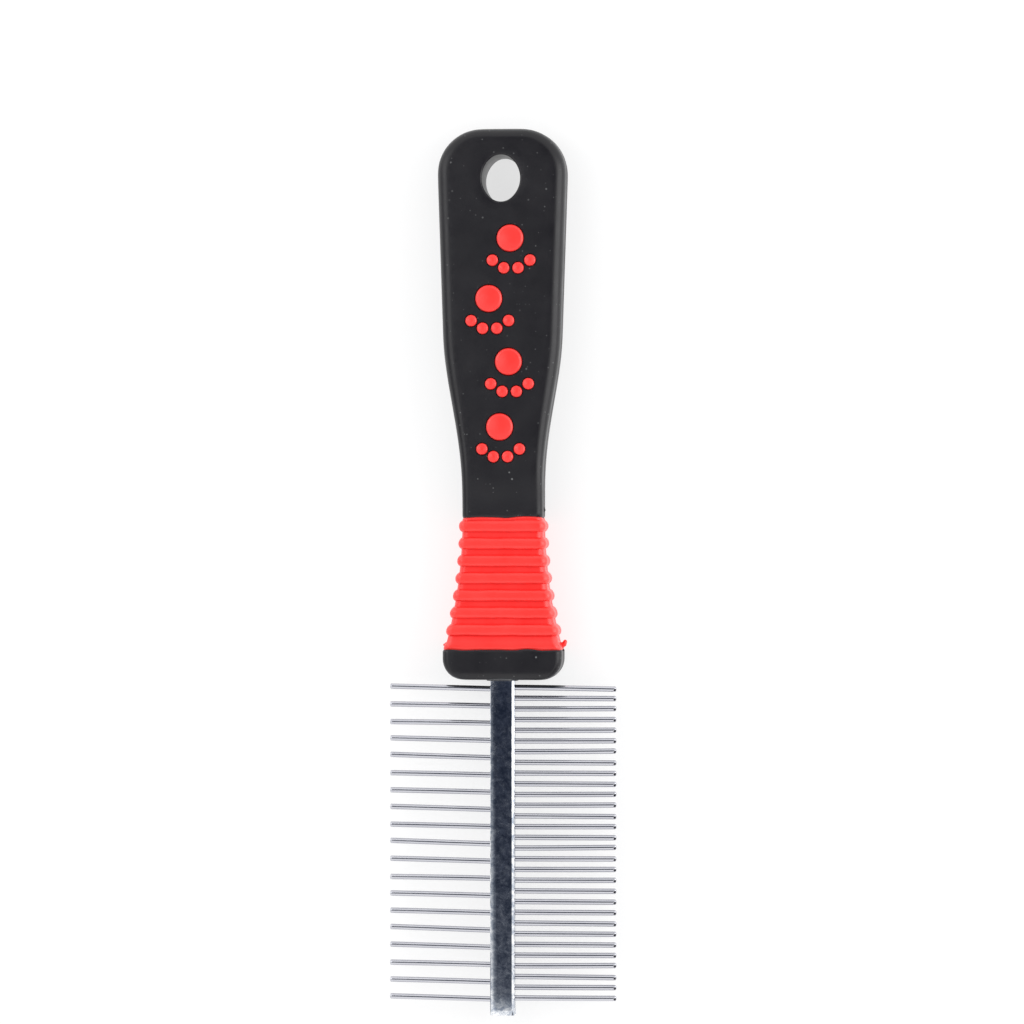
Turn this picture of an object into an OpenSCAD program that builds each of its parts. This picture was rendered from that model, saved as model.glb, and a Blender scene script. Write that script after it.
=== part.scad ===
// Two-sided pet comb: a steel spine with a coarse and a fine row of teeth, in a soft rubber handle.
// It lies on its back: the comb's length runs along Y with the hanging end at +Y, the printed front
// face looks along +Z, the fine teeth point along +X and the coarse teeth along -X. Millimetres.

/* [Comb head] */
// Width of the spine, across the comb
spine_w = 6.1; // [5.6:0.1:7]
// Thickness of the spine
spine_t = 5; // [4.4:0.1:5.6]
// Radius of the spine's long edges
spine_edge = 0.85; // [0.3:0.05:1.2]
// Length of spine outside the handle
head_len = 83.9; // [82:0.1:110]
// Length of tang inside the handle
tang_len = 47; // [36:1:60]
// Radius of the notches that lock the tang in the core
notch_r = 1.2; // [0.6:0.1:1.4]
// Diameter of a tooth
tooth_d = 1.4; // [1:0.1:1.6]
// Distance from the comb's centreline to every tooth's tip
tooth_reach = 28.4; // [22:0.1:34]
// Depth of a tooth's hole in the spine
tooth_seat = 2.2; // [1.2:0.1:2.4]
// Length of both rows, between the first and the last tooth's axes
row_len = 77.6; // [60:0.1:78]
// Distance from the handle to the first fine tooth's axis
fine_start = 2.05; // [1.5:0.05:2.8]
// Distance from the handle to the root of the first coarse tooth
coarse_start = 2.4; // [1.5:0.05:2.8]
// Number of teeth in the coarse row
coarse_count = 19; // [12:1:19]
// Number of teeth in the fine row
fine_count = 30; // [20:1:30]
// Lean of the coarse teeth towards the handle, in degrees
coarse_lean = 1.4; // [0:0.1:3]

/* [Handle] */
// Length of the black grip above the collar
grip_len = 97; // [90:1:110]
// Length of the red ribbed collar
collar_len = 32.95; // [30:0.05:36]
// Length of the black cap at the spine's end
cap_len = 7.45; // [6.5:0.05:9]
// Half width of the grip beside the hanging hole
shoulder_w = 16.2; // [14.5:0.1:18]
// Half width of the grip's waist, where it meets the collar
waist_w = 10.2; // [9:0.05:11]
// Half width of the nose cap
cap_w = 15.05; // [15:0.05:16]
// Thickness of the grip and the cap
grip_t = 13; // [13:0.5:16]
// Thickness of the neck under the ribs
neck_t = 11.2; // [11:0.1:11.4]
// Corner radius of the hanging end
end_r = 11.2; // [8:0.1:13.5]
// Corner radius of the nose cap
cap_r = 5.2; // [3:0.1:5.4]
// Thickness of the soft skin over the hard core
skin = 1.6; // [1.2:0.1:2]

/* [Ribs, hole and prints] */
// Number of full ribs on the collar
rib_count = 7; // [5:1:7]
// Height of a rib above the neck at its sides
rib_h = 0.8; // [0.4:0.05:1]
// Width of the hanging hole
hole_w = 9.6; // [8:0.1:11]
// Length of the hanging hole
hole_l = 11.7; // [11.5:0.1:14]
// Distance from the hanging end to the hole's centre
hole_from_end = 12.6; // [11:0.1:14]
// Radius of a print's big pad
pad_r = 3.4; // [2.5:0.1:4]
// Radius of a print's toes
toe_r = 1.44; // [1:0.01:1.7]
// Height of the pads and toes above the grip
print_h = 0.6; // [0.4:0.1:1]

/* [Hidden] */
$fn = 48;
grip_detail = 18;            // sections along the straight part of the grip
neck_detail = 8;             // sections along the inside of the collar
arc_detail = 8;              // sections round a corner
edge_detail = 5;             // steps across one rounded edge
rib_detail = 6;              // steps across one rib
over = 1;                    // how far a cutting shape runs past what it cuts

// Places along the comb, from the spine's free end to the hanging end
total_len = head_len + cap_len + collar_len + grip_len;
far_y = total_len / 2;                       // the hanging end
tip_y = -far_y;                              // the spine's free end
cap_y = tip_y + head_len;                    // the cap's face, where the spine comes out
collar_y = cap_y + cap_len;                  // the cap meets the collar
grip_y = collar_y + collar_len;              // the collar meets the grip
corner_y = far_y - end_r;                    // the hanging end's corners start
tang_y = cap_y + tang_len;                   // the tang's inner end
hole_y = far_y - hole_from_end;
mid_z = grip_t / 2;                          // plane of the spine and the teeth
tooth_r = tooth_d / 2;

// The handle's sides
flare = 0.0041;                              // the neck widens by flare * distance ^ 2
taper = 0.033;                               // narrowing of the grip, per millimetre
waist_start = grip_y + 7.2;                  // the waist runs into the shoulder between these two
waist_end = grip_y + 45;
thin_end = grip_y + 12.5;                    // the grip reaches its full thickness here
edge_grip = 2.8;                             // breadth of the rounded edge at the shoulder
edge_neck = 1.8;                             // and at the waist, the neck and the cap
edge_least = 0.6;                            // and the least, inside
edge_depth = 1.2;                            // an edge's depth over its breadth
draft = 0.15;                                // slope of the sides towards the parting line

// The ribs
rib_w = 2.9;                                 // width of a rib at its foot
rib_from_grip = 2.1;                         // from the grip to the uppermost rib's centre
plain_band = 2.8;                            // the part of the collar's length that has no ribs
rib_top_y = grip_y - rib_from_grip;
rib_pitch = (collar_len - plain_band) / rib_count;
rib_arc_r = (pow(rib_w / 2, 2) + pow(rib_h, 2)) / (2 * rib_h);
face_ribs = 0.6;                             // height of a rib on the faces over that at the sides
flange_h = 0.35;                             // the band that borders the cap
flange_len = 1.8;
flange_slope = 0.7;

// Inside the handle, and the prints
lip_w = 0.9;                                 // the cap's raised lip round the spine
lip_h = 0.3;
liner = 1.2;                                 // the skin's wall that lines the hanging hole
notch_places = [0.5, 0.85];                  // the tang's notches, along the tang
stud_dome = 0.3;                             // height of a stud's domed top
web_t = 0.8;                                 // the plate under a print, below the skin
web_margin = 0.5;                            // the plate's width round each pad
web_bar = 2;                                 // width of the plate's bars, from the pad to the toes
// Centre of each print's pad: from the comb's middle line, and from the hanging end
print_places = [[2.3, 27.55], [-3, 42.55], [1.9, 58.25], [-0.3, 74.45]];
// A print's four toes, from its pad
toe_places = [[-4.4, -5.5], [-1.55, -7.4], [2, -7.4], [4.95, -5.5]];

function two_digits(n) = n < 10 ? str("0", n) : str(n);
function coarse_name(n) = str("coarse_tooth_", two_digits(n));
function fine_name(n) = str("fine_tooth_", two_digits(n));
function print_name(n) = str("paw_print_", n);

// ---- the handle's form ----

function ease(t) = let (c = max(0, min(1, t))) c * c * (3 - 2 * c);
function blend(a, b, t) = a + (b - a) * ease(t);

// Half width and half thickness of the handle under its ribs, and the breadth of its rounded edge, at y
function neck_at(y) = waist_w + flare * pow(max(0, grip_y - y), 2);
function shoulder_at(y) = shoulder_w - taper * (corner_y - y);
function body_w(y) = blend(neck_at(y), shoulder_at(y), (y - waist_start) / (waist_end - waist_start));
function body_h(y) = blend(neck_t, grip_t, (y - grip_y) / (thin_end - grip_y)) / 2;
function edge_at(y) = blend(edge_neck, edge_grip, (y - grip_y) / (waist_end - grip_y));
function inner_edge(e, s) = max(edge_least, e - 0.7 * s);

// Height of the collar's ribs at y: arcs that stand on the neck, and the band that borders the cap
function rib_arc(d) = max(0, sqrt(max(0, pow(rib_arc_r, 2) - d * d)) - rib_arc_r + rib_h);
function rib_y(n) = rib_top_y - n * rib_pitch;
function rib_at(y) =
    y < collar_y + flange_len
        ? flange_h * min(1, (collar_y + flange_len - y) / flange_slope)
        : rib_arc(y - rib_y(round((rib_top_y - y) / rib_pitch)));

// One side of a section, from the front face to the back, as [inset, height above the middle]
function front_profile(h, e) = [for (i = [0:edge_detail])
    let (a = 90 * i / edge_detail)
    [e * (1 - sin(a)) + draft * i / edge_detail, h - e * edge_depth * (1 - cos(a))]];
function side_profile(h, e) =
    let (front = front_profile(h, e))
    concat(front, [[0, 0]], [for (q = reversed(front)) [q[0], -q[1]]]);
function reversed(list) = [for (i = [len(list) - 1:-1:0]) list[i]];

// A ring of points from its right half, [x, y, z], by mirroring it to the left
function whole_ring(right) = concat(right, [for (q = reversed(right)) [-q[0], q[1], q[2]]]);

// The section across the handle at y, of half width w, half thickness h and rounded edge e
function flat_ring(y, w, h, e) = whole_ring([for (q = side_profile(h, e)) [w - q[0], y, mid_z + q[1]]]);

// The section that stands at angle a round a corner of radius r about [x, y]; side is 1 at the hanging
// end and -1 at the cap
function corner_ring(x, y, r, h, e, a, side) = whole_ring([for (q = side_profile(h, e))
    [x + (r - q[0]) * cos(a), y + side * (r - q[0]) * sin(a), mid_z + q[1]]]);

// The handle's sections, shrunk by s inside its outer form
function body_ring(y, s) = flat_ring(y, body_w(y) - s, body_h(y) - s, inner_edge(edge_at(y), s));
function neck_rings(s) = [for (i = [0:neck_detail]) body_ring(collar_y + collar_len * i / neck_detail, s)];
function grip_rings(s) = concat(
    [for (i = [0:grip_detail]) body_ring(grip_y + (corner_y - grip_y) * i / grip_detail, s)],
    [for (i = [1:arc_detail])
        corner_ring(shoulder_w - end_r, corner_y, end_r - s, grip_t / 2 - s, inner_edge(edge_grip, s),
                    90 * i / arc_detail, 1)]);
function cap_rings(s) = concat(
    [for (i = [arc_detail:-1:0])
        corner_ring(cap_w - cap_r, cap_y + cap_r, cap_r - s, grip_t / 2 - s, inner_edge(edge_neck, s),
                    90 * i / arc_detail, -1)],
    [flat_ring(collar_y, cap_w - s, grip_t / 2 - s, inner_edge(edge_neck, s))]);
function core_rings() = concat(
    cap_rings(skin),
    neck_rings(skin),
    [for (i = [1:grip_detail + arc_detail]) grip_rings(skin)[i]]);

// The collar's outer sections, with one at each step across each rib
function rib_stations() = concat(
    [collar_y, collar_y + flange_len - flange_slope, collar_y + flange_len],
    [for (n = [rib_count - 1:-1:0]) for (i = [0:rib_detail]) rib_y(n) + rib_w * (i / rib_detail - 0.5)],
    [grip_y]);
function rib_rings() = [for (y = rib_stations())
    flat_ring(y, body_w(y) + rib_at(y), body_h(y) + face_ribs * rib_at(y), edge_neck)];

// A solid through a list of rings, whose outer ones run towards +Y and inner ones back. An open loft has
// its two ends closed, and a closed one returns to its start
module loft(rings, closed = false) {
    n = len(rings[0]);
    k = len(rings);
    walls = [for (j = [0:k - (closed ? 1 : 2)]) for (i = [0:n - 1])
                [j * n + i, (j + 1) % k * n + i, (j + 1) % k * n + (i + 1) % n, j * n + (i + 1) % n]];
    start = [for (i = [0:n / 2 - 2]) [i, i + 1, n - 2 - i, n - 1 - i]];
    end = [for (f = start) [for (i = reversed(f)) (k - 1) * n + i]];
    polyhedron(points = [for (r = rings) for (q = r) q],
               faces = closed ? walls : concat(walls, start, end), convexity = 6);
}

// ---- shapes that several pieces share ----

// The hanging hole, or a wall of stated thickness round it: an oval of two small arcs and two large ones
module hole_prism(margin, height) {
    small_r = 0.4 * hole_w;
    small_y = hole_l / 2 - small_r;
    large_x = (pow(small_y, 2) - pow(hole_w / 2 - small_r, 2)) / (hole_w - 2 * small_r);
    large_r = large_x + hole_w / 2 + margin;
    join_y = large_r * small_y / (large_r - small_r - margin);
    translate([0, hole_y, mid_z - height / 2]) linear_extrude(height) {
        for (side = [-1, 1])
            translate([0, side * small_y]) circle(small_r + margin);
        intersection() {
            square([2 * large_r, 2 * join_y], center = true);
            translate([-large_x, 0]) circle(large_r);
            translate([large_x, 0]) circle(large_r);
        }
    }
}

// The spine's section, or one that surrounds it, along Y
module bar(from_y, to_y, margin = 0) {
    x = spine_w / 2 - spine_edge;
    z = spine_t / 2 - spine_edge;
    translate([0, to_y, mid_z]) rotate([90, 0, 0]) linear_extrude(to_y - from_y) {
        square([spine_w + 2 * margin, 2 * z], center = true);
        square([2 * x, spine_t + 2 * margin], center = true);
        for (sx = [-1, 1]) for (sz = [-1, 1])
            translate([sx * x, sz * z]) circle(spine_edge + margin);
    }
}

module notched_bar(from_y) {
    difference() {
        bar(from_y, tang_y);
        for (place = notch_places) for (side = [-1, 1])
            translate([side * (spine_w / 2 + notch_r / 3), cap_y + place * tang_len, 0])
                cylinder(r = notch_r, h = grip_t);
    }
}

function coarse_y(n) = cap_y - coarse_start - row_len * (n - 1) / (coarse_count - 1);
function fine_y(n) = cap_y - fine_start - row_len * (n - 1) / (fine_count - 1);

// Places a tooth's axis, from its mouth in the spine outwards; side is 1 for fine teeth, -1 for coarse ones
module at_tooth(y, side, lean) {
    translate([side * spine_w / 2, y, mid_z]) rotate([0, 0, side * lean]) rotate([0, side * 90, 0])
        children();
}

module tooth(y, side, lean) {
    shank = (tooth_reach - spine_w / 2 - tooth_r) / cos(lean);
    color("silver") at_tooth(y, side, lean) {
        translate([0, 0, -tooth_seat]) cylinder(r = tooth_r, h = tooth_seat + shank);
        translate([0, 0, shank]) sphere(tooth_r);
    }
}

module tooth_hole(y, side, lean) {
    at_tooth(y, side, lean) translate([0, 0, -tooth_seat]) cylinder(r = tooth_r, h = tooth_seat + over);
}

// A print's outline, with a margin round its pads, and with bars from the pad to the toes if joined
module print_outline(place, margin = 0, joined = false) {
    translate([place[0], far_y - place[1]]) {
        circle(pad_r + margin);
        for (t = toe_places) {
            translate(t) circle(toe_r + margin);
            if (joined)
                rotate(atan2(t[1], t[0])) translate([0, -web_bar / 2]) square([norm(t), web_bar]);
        }
    }
}

module print_web(place) {
    translate([0, 0, grip_t - skin - web_t]) linear_extrude(web_t)
        print_outline(place, web_margin, joined = true);
}

// A round stud that stands on the web and comes up through the skin to a domed top
module stud(r) {
    ball = (r * r + stud_dome * stud_dome) / (2 * stud_dome);
    intersection() {
        translate([0, 0, grip_t - skin - web_t / 2]) cylinder(r = r, h = grip_t);
        translate([0, 0, grip_t + print_h - ball]) sphere(ball, $fn = 96);
    }
}

// ---- the pieces ----

module spine() {
    color("slategray") difference() {
        notched_bar(tip_y);
        for (n = [1:coarse_count]) tooth_hole(coarse_y(n), -1, coarse_lean);
        for (n = [1:fine_count]) tooth_hole(fine_y(n), 1, 0);
    }
}

module handle_core() {
    color("dimgray") difference() {
        loft(core_rings());
        notched_bar(cap_y);
        hole_prism(liner, grip_t);
        for (place = print_places) print_web(place);
    }
}

module grip_sleeve() {
    color("#2e2d33") difference() {
        union() {
            loft(concat(reversed(grip_rings(skin)), grip_rings(0)));
            hole_prism(liner, grip_t - skin);
        }
        hole_prism(0, grip_t + 2 * over);
        for (place = print_places)
            translate([0, 0, grip_t - skin - over]) linear_extrude(skin + 2 * over) print_outline(place);
    }
}

module ribbed_collar() {
    color("red") loft(concat(rib_rings(), reversed(neck_rings(skin))), closed = true);
}

module nose_cap() {
    color("#2e2d33") difference() {
        union() {
            loft(concat(cap_rings(0), reversed(cap_rings(skin))));
            bar(cap_y - lip_h, cap_y + skin / 2, lip_w);
        }
        bar(cap_y - over, cap_y + skin + over);
    }
}

module paw_print(place) {
    color("red") {
        print_web(place);
        translate([place[0], far_y - place[1], 0]) {
            stud(pad_r);
            for (t = toe_places) translate(t) stud(toe_r);
        }
    }
}

spine();
handle_core();
grip_sleeve();
ribbed_collar();
nose_cap();
for (n = [1:len(print_places)])
    paw_print(print_places[n - 1]);
for (n = [1:coarse_count])
    tooth(coarse_y(n), -1, coarse_lean);
for (n = [1:fine_count])
    tooth(fine_y(n), 1, 0);
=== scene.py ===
from math import ceil, cos, hypot, pi, radians, sin, sqrt

import bmesh
import bpy
from mathutils import Matrix, Vector, geometry, noise


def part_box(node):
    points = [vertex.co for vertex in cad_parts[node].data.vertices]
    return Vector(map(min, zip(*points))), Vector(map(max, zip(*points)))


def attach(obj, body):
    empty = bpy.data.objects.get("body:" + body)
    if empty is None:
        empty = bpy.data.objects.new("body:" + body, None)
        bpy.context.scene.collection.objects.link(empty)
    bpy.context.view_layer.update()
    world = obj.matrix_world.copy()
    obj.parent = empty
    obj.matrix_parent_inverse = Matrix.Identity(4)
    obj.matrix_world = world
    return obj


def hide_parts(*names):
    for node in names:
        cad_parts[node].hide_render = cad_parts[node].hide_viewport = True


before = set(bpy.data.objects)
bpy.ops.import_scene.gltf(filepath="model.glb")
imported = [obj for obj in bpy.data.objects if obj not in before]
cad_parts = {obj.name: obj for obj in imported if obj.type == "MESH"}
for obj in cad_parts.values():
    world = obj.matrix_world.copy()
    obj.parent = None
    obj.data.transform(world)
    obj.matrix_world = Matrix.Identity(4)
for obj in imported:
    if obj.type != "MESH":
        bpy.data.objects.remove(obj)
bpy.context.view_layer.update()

# Looks of the two-sided pet comb. Lengths are in millimetres here and become metres when a mesh is made.
# The comb lies on its back along Y: hanging end at +Y, fine teeth at +X, printed face up.
MM = 0.001

# ---- places, from the CAD nodes ----


def box_mm(node):
    low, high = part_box(node)
    return low / MM, high / MM


SLEEVE_LOW, SLEEVE_HIGH = box_mm("grip_sleeve")
COLLAR_LOW, COLLAR_HIGH = box_mm("ribbed_collar")
CAP_LOW, CAP_HIGH = box_mm("nose_cap")
SPINE_LOW, SPINE_HIGH = box_mm("spine")
PRINTS = [n for n in sorted(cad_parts) if n.startswith("paw_print_")]
COARSE = [n for n in sorted(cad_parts) if n.startswith("coarse_tooth_")]
FINE = [n for n in sorted(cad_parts) if n.startswith("fine_tooth_")]

FAR_Y = SLEEVE_HIGH.y           # the hanging end
GRIP_Y = COLLAR_HIGH.y          # the collar meets the grip
COLLAR_Y = CAP_HIGH.y           # the cap meets the collar
LIP_H = 0.3                     # the cap's raised lip round the spine
CAP_Y = CAP_LOW.y + LIP_H       # the cap's face, where the spine comes out
TIP_Y = SPINE_LOW.y             # the spine's free end
TANG_Y = SPINE_HIGH.y           # the tang's inner end
SPINE_HALF_T = (SPINE_HIGH.z - SPINE_LOW.z) / 2
GRIP_T = SLEEVE_HIGH.z - SLEEVE_LOW.z
MID_Z = (SLEEVE_HIGH.z + SLEEVE_LOW.z) / 2
SHOULDER_W = SLEEVE_HIGH.x
CAP_W = CAP_HIGH.x

# ---- the comb's form, as in the CAD ----
WAIST_W = 10.2                  # half width of the waist
NECK_T = 11.2                   # thickness of the neck under the ribs
END_R = 11.2                    # corner radius of the hanging end
CAP_R = 5.2                     # corner radius of the cap
SKIN = 1.6                      # thickness of the soft skin
FLARE = 0.0041                  # how fast the neck widens towards the teeth
TAPER = 0.033                   # how fast the grip narrows from its shoulders
CORNER_Y = FAR_Y - END_R        # where the hanging end's corners start
WAIST_START, WAIST_END = GRIP_Y + 7.2, GRIP_Y + 45
THIN_END = GRIP_Y + 12.5        # from here down the grip thins to the neck
EDGE_GRIP, EDGE_NECK, EDGE_LEAST = 2.8, 1.8, 0.6    # rounding of the long edges
EDGE_LOSS = 0.7                 # what it loses inside the skin, over the depth there
EDGE_DEPTH = 1.2                # its depth over its width
DRAFT = 0.15                    # how far the sides draw in between their middle and the edges
RIB_COUNT, RIB_W, RIB_H = 7, 2.9, 0.8
RIB_TOP_Y = GRIP_Y - 2.1        # the rib next to the grip
RIB_PITCH = (GRIP_Y - COLLAR_Y - 2.8) / RIB_COUNT
RIB_ARC_R = ((RIB_W / 2) ** 2 + RIB_H ** 2) / (2 * RIB_H)
FLANGE_H, FLANGE_LEN, FLANGE_SLOPE = 0.35, 1.8, 0.7     # the collar's flange beside the cap
HOLE_W, HOLE_L, HOLE_Y = 9.6, 11.7, FAR_Y - 12.6        # the hanging hole
HOLE_ARC = 0.4                  # radius of its end arcs over its width
LINER = 1.2                     # thickness of the skin round it
PAD_R, TOE_R = 3.4, 1.44        # the studs of a print
STUD_TOP = 0.6                  # how far they stand up from the grip
TOES = [(-4.4, -5.5), (-1.55, -7.4), (2.0, -7.4), (4.95, -5.5)]     # from the pad's centre
WEB_MARGIN = 0.5                # how far a print's hidden plate reaches past its studs
TOOTH_R = 0.7
SPINE_EDGE = 0.85               # rounding of the spine's long edges in the CAD
NOTCH_R, NOTCH_PLACES = 1.2, (0.5, 0.85)    # the tang's notches, as shares of its length

# ---- small details that the CAD leaves out ----
PARTING_W, PARTING_H = 0.22, 0.05     # half width and height of the parting line on the handle's sides
HOLE_ROUND = 0.45                     # rounding of the hanging hole's rim
WELL_CHAMFER = 0.10                   # chamfer of the skin's rim round a stud
WELL_GAP = 0.13                       # gap between a stud and the skin
SEAM_WAVE, RIB_WAVE = 0.45, 0.12      # how far the moulded joints and the ribs wander along the handle
CAP_SEED, GRIP_SEED = 3.0, 7.0        # the noise that the collar's joint with each neighbour follows
NOISE_SIZE = 0.22                     # scale of that noise
FADE_CAP, FADE_GRIP = 1.5, 1.2        # lengths over which the collar's surface follows the two joints
FADE_SLEEVE = 1.5                     # and the grip's surface its own
SEAM_DIP, SEAM_SLOPE = 0.16, 0.4      # depth and breadth of the groove along such a joint
NEAR_JOINT = (0.13, 0.27, 0.4)        # distances of the close stations beside it
FACE_RIB_H, GROOVE_DIP = 0.6, 0.2     # a rib's height on the faces, and the sink of the groove beside it
NECK_SHIFT, NECK_SHIFT_LEN = 0.22, 30     # sideways shift of the neck, which grows down the grip
SHIFT_FROM, SHIFT_OVER = 4, 5         # it starts this far from the middle and takes that much to set in
# a stud's rounding at its rim, the height of its domed top and its sides, by its radius
STUD_SHAPES = {PAD_R: (0.85, 0.25, 64), TOE_R: (0.6, 0.15, 40)}
# the spine's long edges, as (distance in from its side, depth below its face): a bevel towards the fine
# teeth, and towards the coarse ones a face that falls off gently, then its edge
BEVEL = [(0.0, 0.62), (0.04, 0.53), (0.08, 0.42), (0.32, 0.22), (0.56, 0.02), (0.64, 0.0), (0.78, 0.0)]
FALL_OFF = [(1.8, 0.0), (1.4, 0.009), (1.0, 0.037), (0.6, 0.083), (0.2, 0.148)]
FALL_EDGE = [(0.05, 0.28), (0.0, 0.5)]
FALL_AT_CAP, FALL_AT_END = 0.6, 1.05  # factor on the fall-off's depth at the cap and at the free end
END_SLOPE, END_SLOPE_LEN = 0.23, 5.0  # drop of the spine's face at its free end, and the length it takes
END_ROUND = 0.25                      # rounding of the spine's free end
HOLE_PLAY = 0.02                      # how much a hole's radius is over its tooth's
FINE_BLUNT, COARSE_BLUNT = 0.62, 0.35     # length of a tooth's rounded tip, over its radius
FACET = Vector((0.40, -0.36, 0.843))  # where the cutter's facet on a fine tooth's tip faces
FACET_DEPTH = 0.72                    # its distance from the tip's centre, over the radius
TOOTH_SIDES = 24
# how far the teeth's tips stray along the comb and stand up, and the lean that the teeth of a row share
STRAY, RISE = 0.4, 0.12
COARSE_LEAN, FINE_LEAN = -0.12, 0.12
FIRST_LEANS = {1: -0.5, 2: -0.15}     # the two fine teeth beside the handle bend away from it
EDGE_STEPS, INNER_EDGE_STEPS = 9, 4   # points on a long edge's rounding, outside and inside the skin
SIDE_STEP = 1.0                       # spacing of the stations down the grip's sides
FACE_STEP = 1.5                       # spacing of the points on the grip's faces
HOLE_CLEAR, STUD_CLEAR = 1.2, 0.5     # room that those points leave round the hole and the studs
# the cap's lip, as (distance in from the cap's face, margin round the spine)
LIP = [(0.0, 1.15), (-0.1, 0.98), (-0.24, 0.90), (-LIP_H, 0.72),
       (-LIP_H, 0.22), (-0.2, 0.06), (SKIN, 0.02)]
# moulding flash, as (x, y, height above the middle, radius)
COLLAR_TAB = [(13.9, COLLAR_Y + 1.1, 0.0, 0.85), (14.8, COLLAR_Y + 1.1, 0.0, 0.8),
              (15.35, COLLAR_Y + 1.4, 0.1, 0.65), (15.6, COLLAR_Y + 2.0, 0.2, 0.5)]
COLLAR_LUG = [(-14.0, COLLAR_Y + 1.3, 0.0, 0.6), (-14.5, COLLAR_Y + 1.1, 0.0, 0.5),
              (-14.75, COLLAR_Y + 1.1, 0.0, 0.3)]
CAP_NUB = [(14.6, COLLAR_Y - 0.1, 0.0, 0.35), (15.0, COLLAR_Y - 0.15, 0.0, 0.4)]
GRIP_NUB = [(10.1, GRIP_Y + 1.2, 0.0, 0.3), (10.35, GRIP_Y + 1.9, 0.0, 0.35),
            (10.2, GRIP_Y + 2.6, 0.0, 0.25)]

# ---- the room and the floor, which the metal mirrors ----
WHITE = (1.0, 1.0, 1.0)
SKY_LIGHT = 1.3
# each patch of the sky is an aim, and a ramp on how well a direction agrees with it
CEILING_AIM, CEILING_CLUTTER = (-0.07, 0.15, 1.0), -0.03
CEILING = [(0.875, WHITE), (0.893, (0.70, 0.71, 0.73)), (0.920, (0.26, 0.28, 0.31)),
           (0.942, (0.110, 0.122, 0.150)), (0.951, (0.036, 0.043, 0.061)), (0.966, (0.024, 0.030, 0.048))]
LEFT_AIM = (-1, 0, 0.1)
LEFT = [(0.84, WHITE), (0.97, (0.22, 0.23, 0.25))]
CORNER_AIM = (1, -0.9, 0.62)
CORNER = [(0.93, WHITE), (0.965, (0.03, 0.03, 0.035))]
FLOOR_GLOW = 0.71                     # light of the floor's own, so that the comb hardly shades it
FLOOR_SIZE, FLOOR_DROP = 1.6, 0.0002  # in metres
LIGHT_AIM = Vector((0, 0.01, 0))      # the point that the lights face

# ---- the camera, in metres ----
CAMERA_TILT = 5                       # degrees towards the fine teeth
CAMERA_DISTANCE = 0.95
VIEW_WIDTH = 0.256                    # width of what it sees at the comb
SENSOR = 36
TARGET = Vector((2.25, 15.05, MID_Z)) * MM


def ease(t):
    t = min(max(t, 0.0), 1.0)
    return t * t * (3 - 2 * t)


def blend(a, b, t):
    return a + (b - a) * ease(t)


def neck_at(y):
    """Half width of the neck, which flares towards the teeth."""
    return WAIST_W + FLARE * max(0.0, GRIP_Y - y) ** 2


def body_w(y):
    """Half width of the handle."""
    shoulder = SHOULDER_W - TAPER * (CORNER_Y - y)
    return blend(neck_at(y), shoulder, (y - WAIST_START) / (WAIST_END - WAIST_START))


def body_h(y):
    """Half thickness of the handle."""
    return blend(NECK_T, GRIP_T, (y - GRIP_Y) / (THIN_END - GRIP_Y)) / 2


def edge_at(y):
    """Rounding of the grip's long edges."""
    return blend(EDGE_NECK, EDGE_GRIP, (y - GRIP_Y) / (WAIST_END - GRIP_Y))


def inner_edge(e, s):
    """Rounding of the inner side at depth s, under an edge rounded by e."""
    return max(EDGE_LEAST, e - EDGE_LOSS * s)


def rib_at(y):
    """Height of the collar's ribs and its flange above the neck."""
    if y < COLLAR_Y + FLANGE_LEN:
        return FLANGE_H * min(1.0, (COLLAR_Y + FLANGE_LEN - y) / FLANGE_SLOPE)
    n = round((RIB_TOP_Y - y) / RIB_PITCH)
    if not 0 <= n < RIB_COUNT:
        return 0.0
    d = y - (RIB_TOP_Y - n * RIB_PITCH)
    return max(0.0, sqrt(max(0.0, RIB_ARC_R ** 2 - d * d)) - RIB_ARC_R + RIB_H)


def face_rib_at(y):
    """Height of the ribs on the front and the back face: steep towards the teeth, gentle behind."""
    if y < COLLAR_Y + FLANGE_LEN:
        return rib_at(y)
    d = y - (RIB_TOP_Y - round((RIB_TOP_Y - y) / RIB_PITCH) * RIB_PITCH)
    t = min(1.0, abs(2 * d / RIB_W))
    swell = (1 - t ** 4) ** 0.5 if d < 0 else (1 - t ** 2.6) ** 0.65
    return FACE_RIB_H * swell - GROOVE_DIP * (1 - swell)


def neck_shift(x, y):
    """The neck, the collar and the cap lie slightly off the grip's line, towards the fine teeth."""
    along = ease((GRIP_Y + NECK_SHIFT_LEN - y) / NECK_SHIFT_LEN)
    return NECK_SHIFT * along * ease((abs(x) - SHIFT_FROM) / SHIFT_OVER)


def seam_dip(y):
    """Sink of the surface beside a moulded joint, where y is the distance from it."""
    return SEAM_DIP * (1 - ease(abs(y) / SEAM_SLOPE))


def wander(x, z, seed, size=SEAM_WAVE):
    """How far a moulded joint or a rib strays along the handle at a place on its outline."""
    return size * noise.noise(Vector((x * NOISE_SIZE, z * NOISE_SIZE, seed)))


# ---- mesh helpers ----


def turn(count):
    """Angles of a full turn in equal steps."""
    return [2 * pi * i / count for i in range(count)]


def circle(x, y, r, count):
    return [(x + r * cos(a), y + r * sin(a)) for a in turn(count)]


def add_ring(bm, points):
    return [bm.verts.new(Vector(p) * MM) for p in points]


def bridge(bm, a, b, closed=True):
    """Quads between two rows of as many vertices."""
    count = len(a) if closed else len(a) - 1
    for i in range(count):
        j = (i + 1) % len(a)
        bm.faces.new((a[i], a[j], b[j], b[i]))


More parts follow.
